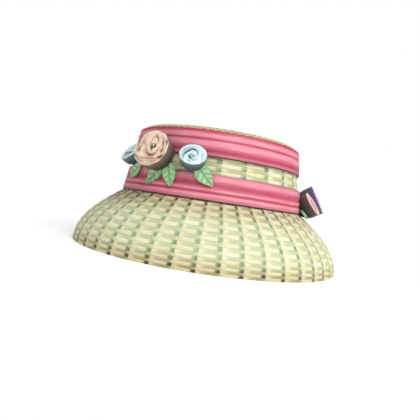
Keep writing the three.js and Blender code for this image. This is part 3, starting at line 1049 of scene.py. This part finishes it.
class Petals(Enum):
    """How a rose's petals lie, as the creases between them on a face of about 17 or 12 mm radius."""

    OPEN = (
        Crease(((6.9, 0.5, 0.2), (6.5, 1.8, 0.5), (5.8, 4.5, 0.6), (5.0, 7.2, 0.7), (3.4, 9.6, 0.9),
                (1.2, 11.2, 1.0), (-0.2, 8.8, 0.7), (-1.1, 6, 0.5), (-1.4, 3, 0.5), (-1.2, 0.8, 0.4)),
               0.7, 0.9, 0.55, 0.4),
        Crease(((1.1, 1.2, 1.0), (1.3, 0.3, 1.0), (1.7, -0.8, 1.0)), 1.15, 2.6, 1.0, 0.0),
        Crease(((4.9, 1.2, 1.0), (5.1, 0.4, 1.0), (4.9, -0.7, 1.0)), 1.05, 2.6, 1.0, 0.0),
        Crease(((1.2, 1.2, 0.6), (2.0, 2.5, 0.7), (3.3, 3.0, 0.7), (4.6, 2.6, 0.7), (5.5, 1.2, 0.6)),
               0.55, 0.8, 0.6, 0.0),
        Crease(((2.0, -0.4, 0.7), (3.0, -2, 0.6), (3.6, -3.8, 0.2)), 0.8, 1.3, 0.6),
        Crease(((5.2, -0.2, 0.6), (4.4, -2, 0.5), (3.6, -3.8, 0.2)), 0.6, 1.0, 0.5),
        Crease(((-5.2, 3.5, 0.1), (-4.6, 0, 0.3), (-3.2, -3, 0.4), (-1.2, -6, 0.75), (2, -7.4, 1.0),
                (5, -7, 0.9), (7.2, -4.5, 0.5), (8.6, -1, 0.3), (9, 3, 0.1)), 0.8, 0.9, 0.65),
        Crease(((-8.5, 12.5, 0.2), (-10, 9, 0.35), (-10.6, 5, 0.35), (-10.8, 0, 0.4), (-11.2, -3.4, 1.0),
                (-11.3, -5.2, 0.4)), 0.9, 0.7, 0.7),
        Crease(((-13.2, 10, 0.2), (-14.8, 6, 1.0), (-14.5, 2.5, 0.5), (-13.9, -1.5, 0.4), (-13.2, -5, 0.2)),
               0.85, 0.7, 0.75),
        Crease(((12.4, -4.5, 0.4), (12.2, -2.5, 0.8), (12, 1, 0.4), (11, 5, 0.7), (9.8, 8.5, 0.4),
                (7.5, 12.5, 0.2)), 0.9, 0.7, 0.75),
        Crease(((15, -2, 0.2), (15.2, 3, 0.3), (14.2, 7.4, 1.0), (12.8, 10.5, 0.3)), 0.95, 0.9, 0.95),
        Crease(((9.5, -9.8, 0.3), (12.4, -8.4, 1.0), (14.6, -6.2, 0.7), (15.6, -3.5, 0.2)), 0.9, 0.9, 0.9),
        Crease(((-16.4, -7.3, 1.0), (-14, -8.8, 0.8), (-10, -10.6, 0.45), (-5, -11, 0.4), (0, -10.9, 0.5),
                (6, -10.6, 0.5), (9.5, -9.8, 0.3)), 0.8, 0.8, 0.7),
        Crease(((-11, -12.2, 0.5), (-6, -13.8, 0.5), (0, -13.4, 0.3), (6, -13.4, 0.5), (10.5, -11.8, 0.4)),
               0.7, 0.6, 0.5),
        Crease(((-8.2, 6.8, 0.4), (-7.6, 3.4, 0.8), (-7.0, 1.5, 0.2)), 0.8, 0.4, 0.45),
        Crease(((-9.5, -15.0, 0.6), (-4, -15.6, 0.3), (3, -15.7, 0.5), (8, -14.4, 0.8)), 0.45, 0.5, 0.6),
        Crease(((8.8, 6, 0.3), (7.6, 9.8, 0.3), (4.2, 13.5, 0.1)), 0.8, 0.4, 0.35),
        Crease(((-3, 13.4, 0.1), (-5.5, 9.5, 0.3), (-6.2, 6, 0.2)), 0.8, 0.4, 0.35),
    )
    CURLED = (
        Crease(((3.3, -1.5, 0.3), (3.4, 1.5, 0.4), (2.7, 3.9, 0.55), (1, 4.9, 0.8), (-0.7, 5.9, 1.0),
                (-2.3, 4.9, 1.0), (-4.4, 2.9, 0.9), (-6.4, 0.6, 0.9), (-8.1, -2, 0.5), (-8.2, -5.5, 0.3)),
               1.05, 1.1, 0.8),
        Crease(((-0.8, -0.8, 0.3), (-2.4, -1.6, 0.6), (-2.9, -3.2, 1.0), (-1.8, -4.6, 0.95),
                (-0.6, -5.4, 0.3)), 0.6, 1.4, 0.95),
        Crease(((0.2, -2.6, 0.4), (1.4, -2.7, 1.0), (2.2, -2.2, 0.3)), 0.5, 1.1, 0.95),
        Crease(((-1.2, -1, 0.5), (-0.6, -2.6, 0.6), (-0.2, -4.4, 0.5)), 0.8, 0.8, 0.5),
        Crease(((5, -5, 0.25), (3.2, -6.2, 0.5), (0.6, -6.8, 0.6), (-2, -5.6, 0.3)), 0.8, 0.6, 0.5),
        Crease(((-3.4, -7.2, 0.4), (-2.6, -7.9, 0.7), (-1.6, -8.7, 0.6)), 0.5, 0.3, 0.5),
        Crease(((8.9, -5.6, 0.4), (7.8, -2, 0.5), (7.7, 1.5, 0.4), (6.8, 5, 0.2)), 0.8, 0.5, 0.35),
        Crease(((11.2, -4, 0.3), (11.5, 0, 0.5), (11.2, 3.5, 0.4)), 0.5, 0.3, 0.5),
        Crease(((-4.4, 8.8, 0.3), (-5.6, 6.6, 0.6), (-8.2, 4.2, 0.6), (-8.9, 1.5, 0.3)), 1.0, 0.5, 0.4),
        Crease(((2, 8.6, 0.3), (5.4, 6.9, 0.3), (6.2, 4, 0.1)), 0.8, 0.4, 0.3),
    )


@dataclass
class ClothRose:
    """A rose of one strip of cloth, gathered into a cup whose petals are folded over each other.

    Attributes:
        node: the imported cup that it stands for.
        colour: its cloth.
        petals: how its petals lie.
        spin: how far they are turned anticlockwise, in degrees.
        seat: azimuth and height in mm of the middle of its foot.
        face: azimuth and lift of the way that it faces, in degrees.
        radius: of its rim, in mm.
        depth: from its foot to its rim, in mm.
        foot: the foot's radius as a share of the rim's.
        trim: width and height of the face as shares of the rim's, and how far it is shifted to
            the right and upwards in mm.
        corners: how many places the cloth is pinched at round the rim.
        dome: how high the face's middle stands over its rim, in mm.
        stand: how strongly its petals stand out.
        seed: of the rim's small wobble.
        around: points round the rim.
        walls: rows up the side.
        rings: rows from the rim to the face's middle.
        written: the radii in mm that the open and the curled petals are written for.
        thickness: of its cloth.
        straightness: how far the rim is a polygon between its corners, from 0 to 1.
        wobble: of the rim, as a share of its radius.
        lip: a petal's lip beside a crease, as its height in depths of the crease and its place
            and width in widths of the crease.
        flushing: the flush on the crease's other side, as its strength, place and width.
        bevel: shares of the face's radius where its edge is rounded.
    """

    node: str
    colour: RoseColour
    petals: Petals
    spin: float
    seat: tuple[float, float]
    face: tuple[float, float]
    radius: float
    depth: float
    foot: float
    trim: tuple[float, float, float, float]
    corners: int
    seed: int
    dome: float = 1.5
    stand: float = 1.25
    around: int = 168
    walls: int = 18
    rings: int = 54
    written: tuple[float, float] = (17.8, 12.3)
    thickness: float = 0.4 * MM
    straightness: float = 0.6
    wobble: float = 0.01
    lip: tuple[float, float, float] = (0.4, 1.9, 1.2)
    flushing: tuple[float, float, float] = (1.2, -1.4, 2.4)
    bevel: tuple[float, float, float] = (1.0, 0.997, 0.985)

    # The side's profile, as rows of (share of the way up from the foot, share of the way out)
    SIDE = ((-0.6, -1.6), (-0.3, -0.8), (0.0, 0.0), (0.15, 0.42), (0.3, 0.7), (0.6, 0.93),
            (0.85, 0.99), (1.0, 1.0))

    def relief(self, place: np.ndarray) -> tuple[np.ndarray, np.ndarray, np.ndarray]:
        """How far the petals stand out of the face's dome, and their tones.

        Each crease takes depth x strength x exp(-(s / width)^2) off, where s is the distance from
        it, and raises a lip to the left of its run. The flush lies to the right.

        Args:
            place: points in mm from the face's middle, with shape (..., 2).

        Returns:
            Height in mm, painted shade of the creases, and flush beside them.
        """
        height, groove, blush = (np.zeros(place.shape[:-1]) for _ in range(3))
        scale = self.radius / self.written[0 if self.petals is Petals.OPEN else 1]
        lip_height, lip_place, lip_width = self.lip
        flush, flush_place, flush_width = self.flushing
        for crease in self.petals.value:
            gap, strength = crease.nearest(place, np.radians(self.spin), scale)
            width = crease.width * scale
            cut = strength * bell(gap, width)
            lip = strength * bell(gap - lip_place * width, lip_width * width)
            height += crease.depth * scale * (lip_height * lip - cut)
            # Painted shade at the bottom of each crease.
            groove = np.maximum(groove, np.minimum(1.5 * crease.shade * cut, 1))
            flushed = bell(gap - flush_place * width, flush_width * width)
            blush = np.maximum(blush, flush * crease.flush * strength * flushed)
        return height * self.stand, groove, np.clip(blush, 0, 1)

    def outline(self, angle: np.ndarray) -> np.ndarray:
        """The rim's points on the face, as (right, up) in mm.

        They lie on an ellipse with a small wobble, and run partly straight between the corners: a
        polygon's edge is at cos(half) / cos(turn from the edge's middle) of its corners' radius.
        """
        wide, high, right, up = self.trim
        half = np.pi / self.corners
        turn = (angle + 0.3 * self.seed) % (2 * half) - half
        straight = 1 + self.straightness * (np.cos(half) / np.cos(turn) - 1) + 0.2 * (1 - np.cos(half))
        wobble = self.radius * (straight + self.wobble * waves(angle, self.seed, (5, 8, 11)))
        round_middle = [wide * wobble * np.cos(angle), high * wobble * np.sin(angle)]
        return np.stack(round_middle, axis=-1) + (right, up)

    def upright(self, place: np.ndarray, height: np.ndarray) -> np.ndarray:
        """Points about +Z from (right, up) on the face and the height over the foot, in metres."""
        top = np.radians(90 + self.face[0])
        right, up = place[..., 0], place[..., 1]
        return MM * np.stack([
            right * np.sin(top) + up * np.cos(top), up * np.sin(top) - right * np.cos(top),
            np.broadcast_to(height, right.shape)], axis=-1)

    def turned(self, points: np.ndarray) -> np.ndarray:
        """Turns points from +Z to the way that the rose faces, by the shortest turn, and seats them."""
        axis = direction(*self.face)
        x, y, z = np.cross([0, 0, 1], axis)
        skew = np.array([[0, -z, y], [z, 0, -x], [-y, x, 0]])
        matrix = np.eye(3) + skew + skew @ skew / (1 + axis[2])
        height = self.seat[1] * MM
        seat = around_axis(LINE.crown(height) + LINE.ridge, np.radians(self.seat[0]), height)
        return points @ matrix.T + seat

    def wall(self, rise: np.ndarray, rim: np.ndarray, top: np.ndarray) -> np.ndarray:
        """The cup's side in place, narrowing from the rim to the foot along a rounded profile.

        Args:
            rise: share of the way from the foot to the rim, with shape (rows, columns).
            rim: the rim's points on the face.
            top: the rim's height over the foot, in mm.

        Returns:
            Points with shape (rows, columns, 3).
        """
        table = smooth_weights(len(self.SIDE), 60) @ np.array(self.SIDE)
        flare = self.foot + (1 - self.foot) * np.interp(rise, table[:, 0], table[:, 1])
        return self.turned(self.upright(rim * flare[..., None], rise * top))

    def cup(self) -> tuple[np.ndarray, dict[str, np.ndarray]]:
        """The whole rose's points and tones, from its foot on the hat up to its rim and to its middle.

        The side begins where it leaves the hat's surface, which is found between 80 steps down
        from the rim. The face is dome x (1 - (r / rim)^2) high, with a lip inside its rounded edge.

        Returns:
            Points with shape (rows, columns, 3), and tones with shape (rows, columns).
        """
        angle = circle(self.around)
        rim = self.outline(angle)
        inwards = np.linspace(0.965, 0.004, self.rings - len(self.bevel))
        share = np.concatenate([self.bevel, inwards])[:, None]
        middle = np.array(self.trim[2:])
        place = share[..., None] * (rim - middle) + middle
        stand, groove, blush = self.relief(place)
        edge = 0.5 * ramp(share, 0.955, 1) ** 2
        lip = 0.2 * bell(share - 0.95, 0.025)
        soft = ramp(share, 1, 0.97)
        height = self.depth - 0.5 + self.dome * (1 - share ** 2) + lip - edge + stand * soft
        face = self.turned(self.upright(place, height))
        steps = np.linspace(1, -0.6, 80)
        tried = self.wall(steps[:, None], rim, height[0])
        clear = np.hypot(tried[..., 0], tried[..., 1]) - LINE.bed(tried[..., 2])
        last = np.maximum((clear < 0).argmax(axis=0), 1)
        column = np.arange(self.around)
        above, below = clear[last - 1, column], clear[last, column]
        low = steps[last] + (steps[last - 1] - steps[last]) * np.clip(below / (below - above), 0, 1)
        rise = low + (1 - low) * np.linspace(0, 1, self.walls, endpoint=False)[:, None]
        side = self.wall(rise, rim, height[0])
        # The rim's painted edge: a highlight, slightly darker on the blue roses.
        painted_rim_edge = bell(share - 0.98, 0.022) * (0.6 + 0.4 * waves(angle, self.seed + 3, (4, 9, 14)))
        tones = {  # on the side, and on the face
            # Painted shade on the cup's side, darker towards its foot, and painted shade in the creases.
            "side": (1.0, np.where(share > 0.999, 0.5, 0.0)),
            "low": (np.clip(1 - rise, 0, 1), 0.0),
            "groove": (0.0, groove * soft),
            "blush": (0.0, blush),
            "edge": (0.0, np.clip(painted_rim_edge, 0, 1)),
        }
        return np.concatenate([side, face]), {
            label: np.concatenate([np.broadcast_to(value, part.shape[:2])
                                   for value, part in zip(values, (side, face))])
            for label, values in tones.items()}

    def build(self) -> None:
        points, tones = self.cup()
        grid = Grid(points[None], closed_columns=True, poled=True, tones=tones)
        slot = f"{self.colour.name.lower()}_cloth"
        piece = place_piece(grid, f"{self.node}_cloth", self.colour.value.material(), slot, self.node)
        cloth = piece.modifiers.new("cloth thickness", "SOLIDIFY")
        cloth.thickness, cloth.offset = self.thickness, -1


# Leaves

@dataclass(frozen=True)
class LeafCloth:
    """Stiffened green cloth pressed in a mould, which leaves grooves for its veins.

    Its waxy face is painted pale where it stands out between the veins: a painted highlight.
    """

    blade: str = "#A8DC9E"
    middle: str = "#97CF8C"
    pale: str = "#CCE3C8"
    vein: str = "#6C9659"
    edge: str = "#418C47"
    roughness: float = 0.45

    def material(self) -> bpy.types.Material:
        """Colours the leaf from its blade, with a painted highlight where it stands out, to its veins and
        edge.
        """
        material, tree, shader = finish(
            "pressed_leaf_cloth", Roughness=self.roughness, Specular_IOR_Level=0.4)
        fine = streaks(tree, 1.6 * MM, 1.6 * MM)
        colour = blend_colours(tree, reshape_share(tree, fine, 0.3, 0.7), self.blade, self.middle)
        # A painted highlight where the cloth stands out between the veins.
        for label, shade in (("pillow_highlight", self.pale), ("vein", self.vein), ("edge", self.edge)):
            colour = blend_colours(tree, tone(tree, label), colour, shade)
        join(tree, shader, Base_Color=colour, Normal=raised(tree, fine, 0.08 * MM, 0.5))
        return material


@dataclass
class VeinedLeaf:
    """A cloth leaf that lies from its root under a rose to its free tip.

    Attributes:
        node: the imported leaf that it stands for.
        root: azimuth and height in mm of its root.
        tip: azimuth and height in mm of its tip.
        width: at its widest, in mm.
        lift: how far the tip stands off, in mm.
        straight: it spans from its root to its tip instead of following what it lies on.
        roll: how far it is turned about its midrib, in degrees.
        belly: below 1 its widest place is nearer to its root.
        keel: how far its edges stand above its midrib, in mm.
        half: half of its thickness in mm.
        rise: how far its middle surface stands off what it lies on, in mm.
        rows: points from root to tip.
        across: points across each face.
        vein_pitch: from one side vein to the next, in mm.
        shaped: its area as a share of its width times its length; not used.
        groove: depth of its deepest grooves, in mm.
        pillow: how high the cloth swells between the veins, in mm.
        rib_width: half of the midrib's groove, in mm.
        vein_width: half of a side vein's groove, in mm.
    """

    node: str
    root: tuple[float, float]
    tip: tuple[float, float]
    width: float
    lift: float
    straight: bool = False
    roll: float = 0.0
    belly: float = 0.8
    keel: float = 0.8
    half: float = 0.45
    rise: float = 0.9
    rows: int = 72
    across: int = 41
    vein_pitch: float = 5.6
    shaped: float = 0.64
    groove: float = 0.4
    pillow: float = 0.45
    rib_width: float = 0.65
    vein_width: float = 0.5

    def relief(
            self, both: np.ndarray, half_width: np.ndarray,
            reach: np.ndarray) -> tuple[np.ndarray, np.ndarray]:
        """Grooves along the midrib and the side veins, and the cloth's pillows between them.

        A side vein is where the distance from the root, less the distance from the midrib, is a
        whole number of pitches, with a slight waver. The two sides' veins alternate, and each
        curves on towards the tip.

        Args:
            both: place across the leaf, from -1 at one edge to 1 at the other.
            half_width: of the leaf there, in mm.
            reach: distance from the root, in mm.

        Returns:
            How deep in a groove and how high on a pillow each point is, from 0 to 1.
        """
        from_rib = np.abs(both) * half_width
        from_edge = half_width - from_rib
        bend = 0.5 * np.sin(2.1 * self.root[0] + 0.9 * reach + 2 * np.sign(both)) + 0.9 * (both > 0)
        place = (reach - 1.05 * from_rib + 0.05 * from_rib ** 2 + bend) / self.vein_pitch
        off = np.abs(place - np.round(place)) * self.vein_pitch
        vein = bell(off, self.vein_width) * ramp(from_edge, 0, 1.5)
        grooves = np.maximum(0.85 * bell(from_rib, self.rib_width), 0.6 * vein)
        pillow = ramp(off, 0, self.vein_pitch / 2) * ramp(from_rib, 0, 2) * ramp(from_edge, 0, 2)
        return grooves * ramp(half_width, 0, self.width / 6), pillow

    def build(self, material: bpy.types.Material) -> None:
        """Makes the leaf, sin(pi s^belly) wide, with its own thickness all round.

        s is the share of the way from its root to its tip.
        """
        (root_turn, root_height), (_, tip_height) = self.root, self.tip
        per_degree = np.radians(LINE.bed((root_height + tip_height) / 2 * MM) / MM)
        ahead = np.array([(self.tip[0] - root_turn) * per_degree, tip_height - root_height])
        length = float(np.linalg.norm(ahead))
        across, up = ahead / length
        share = np.linspace(0.004, 0.998, self.rows)[:, None]
        swell = np.sin(np.pi * share ** self.belly)
        side = np.linspace(-1, 1, self.across)
        both, face = there_and_back(side, side), np.repeat([1, -1], self.across)
        half_width = self.width / 2 * swell
        reach = share * length
        grooves, pillow = self.relief(both, half_width, reach)
        roll = np.radians(self.roll)
        level = both * half_width * np.cos(roll)
        height = (root_height + up * reach + across * level) * MM
        azimuth = np.radians(root_turn + (across * reach - up * level) / per_degree)
        if self.straight:
            low, high = LINE.bed(np.array([root_height, tip_height]) * MM)
            bed = low + (high - low) * share
            slope = (high - low) / ((tip_height - root_height) * MM)
            length = float(np.hypot(length, (high - low) / MM))
        else:
            bed = LINE.bed(height)
            slope = (LINE.bed(height + 2 * MM) - LINE.bed(height - 2 * MM)) / (4 * MM)
        lean = 1 / np.hypot(1, slope)
        thick = self.half * np.sqrt(1 - 0.75 * both ** 6) * np.clip(4 * swell, 0.15, 1)
        stand = self.rise + self.lift * share ** 2 + self.keel * swell * both ** 2 + face * thick
        stand = stand + self.pillow * pillow - self.groove * grooves
        stand = (stand + both * half_width * np.sin(roll) + np.sin(abs(roll)) * self.width / 2) * MM
        points = around_axis(bed + lean * stand, azimuth, height - lean * slope * stand)[None]
        grid = Grid(points, closed_columns=True, capped=True, tones={
            # Painted highlight on the pillows between the veins.
            "vein": grooves, "pillow_highlight": 0.9 * pillow ** 1.5,
            "edge": 0.8 * np.maximum(ramp(np.abs(both), 0.86, 1), ramp(share, 0.95, 1))})
        piece = place_piece(grid, f"{self.node}_cloth", material, "leaf_cloth", self.node)


# The whole bonnet and its stage

class Bonnet:
    """The bonnet's sub-assemblies, with the sizes and places that its trims have."""

    ribbons = [
        FoldedRibbon("upper_ribbon", 119.4 * MM, 94.9 * MM, (
            (0.02, 0.6, 0.0), (0.0, 1.2, 0.0), (0.012, 1.8, 0.0), (0.06, 2.05, 0.02), (0.105, 2.15, 0.35),
            (0.165, 2.2, 0.85), (0.23, 2.2, 1.0), (0.3, 2.1, 0.75), (0.35, 1.88, 0.12), (0.375, 1.88, 0.12),
            (0.42, 2.1, 0.75), (0.48, 2.2, 1.0), (0.56, 2.2, 0.95), (0.64, 2.15, 0.65), (0.72, 2.05, 0.25),
            (0.78, 1.95, 0.02), (0.83, 1.95, 0.12), (0.88, 1.9, 0.4), (0.93, 1.8, 0.5), (0.95, 1.7, 0.4),
            (0.963, 1.6, -0.6), (0.98, 1.5, -1.0), (1.0, 1.3, -1.0), (0.995, 0.8, -1.0)), (0.9,), 11),
        FoldedRibbon("lower_ribbon", 79.9 * MM, 55.8 * MM, (
            (0.02, 0.6, 0.0), (0.0, 1.2, 0.0), (0.012, 1.7, 0.05), (0.04, 2.0, 0.55), (0.08, 2.15, 0.8),
            (0.15, 2.2, 0.9), (0.23, 2.2, 0.85), (0.3, 2.1, 0.5), (0.38, 1.95, 0.2), (0.46, 1.95, 0.2),
            (0.53, 2.1, 0.55), (0.59, 2.2, 1.0), (0.64, 2.1, 0.65), (0.68, 1.88, 0.1), (0.715, 1.88, 0.1),
            (0.755, 2.1, 0.75), (0.8, 2.2, 1.0), (0.86, 2.2, 0.8), (0.91, 2.15, 0.5), (0.945, 2.15, 0.35),
            (0.963, 2.12, -0.6), (0.98, 2.05, -1.0), (1.0, 1.9, -1.0), (0.99, 1.5, -1.0)), (0.04, 0.92), 23),
    ]
    roses = [
        ClothRose(
            "peach_rose", RoseColour.PEACH, Petals.OPEN, 0, (2.6, 88.9), (7.8, 19), 17.8, 20, 0.7,
            (0.985, 0.965, -0.7, -0.1), 11, 31),
        ClothRose(
            "blue_rose_left", RoseColour.BLUE, Petals.CURLED, 150, (-19.4, 85.6), (-19.1, 39.5), 12.4,
            12.6, 0.62, (1.02, 1.0, -0.3, 0.4), 9, 32),
        ClothRose(
            "blue_rose_right", RoseColour.BLUE, Petals.CURLED, 0, (22.5, 86), (36, 38), 12.3, 13, 0.73,
            (0.995, 0.96, 0, 0.8), 12, 33),
        ClothRose(
            "pink_rose", RoseColour.PINK, Petals.CURLED, 70, (113, 59.7), (100.3, 36.8), 12.9, 16, 0.6,
            (1.0, 1.0, 0, 0), 10, 34, 0.9, 1.6),
        ClothRose(
            "purple_rose", RoseColour.PURPLE, Petals.OPEN, 200, (130.5, 62), (110.7, 30.4), 16.3, 25.8, 0.6,
            (1.0, 1.0, 0, 0), 11, 35, 0.2, 0.4),
    ]
    leaves = [
        VeinedLeaf("leaf_blue_left", (-12, 82), (-23, 67.2), 14, 1.5),
        VeinedLeaf("leaf_peach_left", (5, 83), (-3.7, 62.7), 14.2, 1.5),
        VeinedLeaf("leaf_peach_right", (8.6, 86), (13.3, 62.8), 14.2, 1.5),
        VeinedLeaf("leaf_blue_right", (25, 86.5), (35.7, 68.2), 14.4, 1.5),
        VeinedLeaf("leaf_pink", (105.5, 59.5), (104.3, 49.9), 10, 0.3, straight=True, roll=15),
    ]

    def build(self) -> None:
        """Builds the straw, then the ribbons, roses and leaves on it."""
        StrawBody().build()
        satin = Satin().material()
        for ribbon in self.ribbons:
            ribbon.build(satin)
        for rose in self.roses:
            rose.build()
        pressed = LeafCloth().material()
        for leaf in self.leaves:
            leaf.build(pressed)


@dataclass
class Studio:
    """A pale floor, a white surround, a soft light and the camera at the photograph's angle.

    Attributes:
        distance: of the camera from the hat's axis.
        height: of the camera.
        azimuth: of the camera, in degrees.
        pitch: how far it looks down, in degrees.
        roll: how far it is turned, in degrees.
        lens: its focal length in mm.
        ambient: how strongly the surround lights the hat.
        floor_half: half of the floor's width.
    """

    distance: float = 446.9 * MM
    height: float = 58.25 * MM
    azimuth: float = 36.0
    pitch: float = 1.58
    roll: float = 8.51
    lens: float = 34.49
    ambient: float = 0.255
    floor_half: float = 20.0

    def sun(self, name: str, azimuth: float, lift: float, spread: float, power: float) -> None:
        """Adds a distant soft light.

        Args:
            name: the light's name.
            azimuth: where it stands, relative to the camera, in degrees.
            lift: its height above level, in degrees.
            spread: how wide it looks from the hat, in degrees, which softens its shadows.
            power: in watts per square metre.
        """
        lamp = bpy.data.lights.new(name, "SUN")
        lamp.energy, lamp.angle = power, np.radians(spread)
        away = direction(azimuth + self.azimuth, lift)
        add_object(name, lamp).matrix_world = oriented(unit(np.cross([0, 0, 1], away)), away, away)

    def floor(self) -> None:
        """A pale matt floor, wide enough to reach the horizon."""
        mesh = bpy.data.meshes.new("floor")
        corners = np.array([(-1, -1, 0), (1, -1, 0), (1, 1, 0), (-1, 1, 0)]) * self.floor_half
        mesh.from_pydata(corners.tolist(), [], [(0, 1, 2, 3)])
        material, tree, shader = finish(
            "matt_white_paper", Roughness=0.9, Specular_IOR_Level=0.1, Emission_Strength=0.2,
            Emission_Color="#FFFFFF")
        colour = blend_colours(tree, speckle(tree, 100 * MM, 2.0), "#FDFDFC", "#FFFFFF")
        join(tree, shader, Base_Color=colour)
        mesh.materials.append(material)
        add_object("floor", mesh)

    def surround(self) -> None:
        """An even white surround, which lights everything softly and less strongly than it looks."""
        world = bpy.data.worlds.new("surround")
        bpy.context.scene.world = world
        world.use_nodes = True
        tree = world.node_tree
        back = tree.nodes["Background"]
        back.inputs[0].default_value = (1, 1, 1, 1)
        seen = add_node(tree, "ShaderNodeLightPath").outputs["Is Camera Ray"]
        strength = add_node(tree, "ShaderNodeMapRange", {0: seen, 3: self.ambient, 4: 1.0}).outputs[0]
        tree.links.new(strength, back.inputs[1])

    def camera(self) -> None:
        """The camera, aimed past the hat's axis and turned by the roll."""
        lens = bpy.data.cameras.new("camera")
        lens.lens, lens.sensor_width, lens.clip_end = self.lens, 36.0, 50.0
        back, right = direction(self.azimuth, self.pitch), direction(self.azimuth + 90, 0)
        roll = np.radians(self.roll)
        side = np.cos(roll) * right + np.sin(roll) * np.cross(back, right)
        place = around_axis(self.distance, np.radians(self.azimuth), self.height)
        camera = add_object("camera", lens)
        camera.matrix_world = oriented(side, back, place)
        bpy.context.scene.camera = camera

    def build(self) -> None:
        """Sets up the stage."""
        self.floor()
        self.surround()
        self.sun("key", 38, 50, 55, 2.45)
        self.camera()
        bpy.context.scene.view_settings.view_transform = "Standard"


def main() -> None:
    """Builds the bonnet and its stage."""
    logging.basicConfig(level=logging.INFO, format="%(name)s: %(message)s")
    Studio().build()
    Bonnet().build()


if __name__ == "__main__":
    main()
